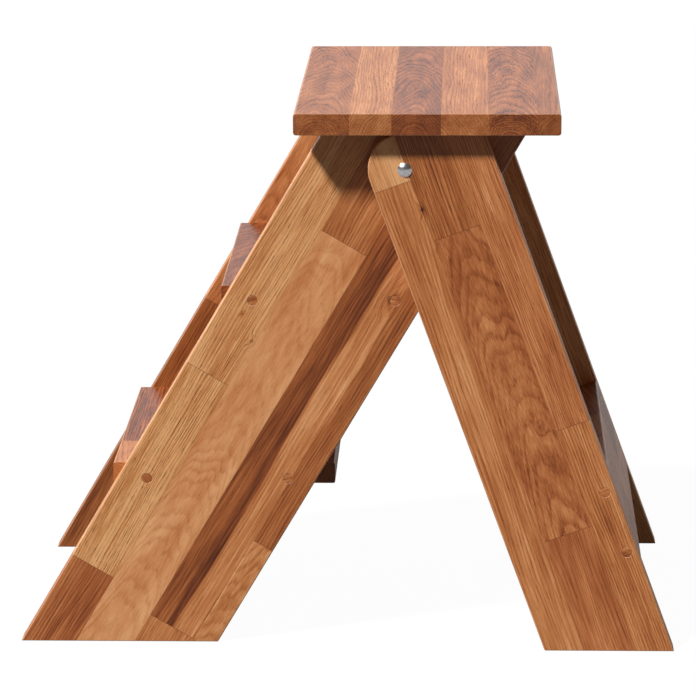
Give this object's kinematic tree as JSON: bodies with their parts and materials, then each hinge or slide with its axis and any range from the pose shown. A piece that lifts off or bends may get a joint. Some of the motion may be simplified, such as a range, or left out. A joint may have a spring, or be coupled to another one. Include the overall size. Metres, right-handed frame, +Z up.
{
  "type": "folding step stool",
  "caption": "Folding wooden step stool: treads and a top plate on wide sloped stringers, with a rear leg frame that swings in beside them to fold.",
  "frame": {"origin": "on the floor under the middle of the open stool", "axes": "+X from the front toes to the rear heels, +Y to the user's left, +Z up"},
  "size_m": [0.7458, 0.47, 0.62],
  "materials": {
    "stringer_wood": "oiled oak butcher block, satin",
    "plate_wood": "oiled oak butcher block, satin",
    "tread_wood": "oiled oak butcher block, satin",
    "leg_wood": "oiled oak butcher block, satin",
    "crosspiece_wood": "oiled oak butcher block, satin",
    "plug_wood": "oiled oak plug, end grain, satin",
    "dowel_wood": "plain beech",
    "bolt_steel": "bright zinc plate",
    "screw_steel": "zinc plate",
    "spacer_plastic": "natural nylon"
  },
  "bodies": {
    "tread_frame": {"right_stringer": "stringer_wood", "left_stringer": "stringer_wood", "top_plate": "plate_wood", "upper_tread": "tread_wood", "lower_tread": "tread_wood", "right_upper_tread_screws": "screw_steel", "left_upper_tread_screws": "screw_steel", "right_lower_tread_screws": "screw_steel", "left_lower_tread_screws": "screw_steel", "right_upper_tread_plugs": "plug_wood", "left_upper_tread_plugs": "plug_wood", "right_lower_tread_plugs": "plug_wood", "left_lower_tread_plugs": "plug_wood", "right_plate_dowels": "dowel_wood", "left_plate_dowels": "dowel_wood"},
    "rear_frame": {"right_rear_leg": "leg_wood", "left_rear_leg": "leg_wood", "rear_crosspiece": "crosspiece_wood", "right_crosspiece_screws": "screw_steel", "left_crosspiece_screws": "screw_steel", "right_crosspiece_plugs": "plug_wood", "left_crosspiece_plugs": "plug_wood", "right_pivot_bolt": "bolt_steel", "left_pivot_bolt": "bolt_steel", "right_spacer_washer": "spacer_plastic", "left_spacer_washer": "spacer_plastic", "right_nut_washer": "bolt_steel", "left_nut_washer": "bolt_steel", "right_lock_nut": "bolt_steel", "left_lock_nut": "bolt_steel"}
  },
  "joints": [
    {"name": "rear_frame_fold", "type": "hinge", "parent": "tread_frame", "child": "rear_frame", "pos_m": [0.06831, 0, 0.555], "axis": [0, 1, 0], "range_deg": [0, 46.9]}
  ]
}
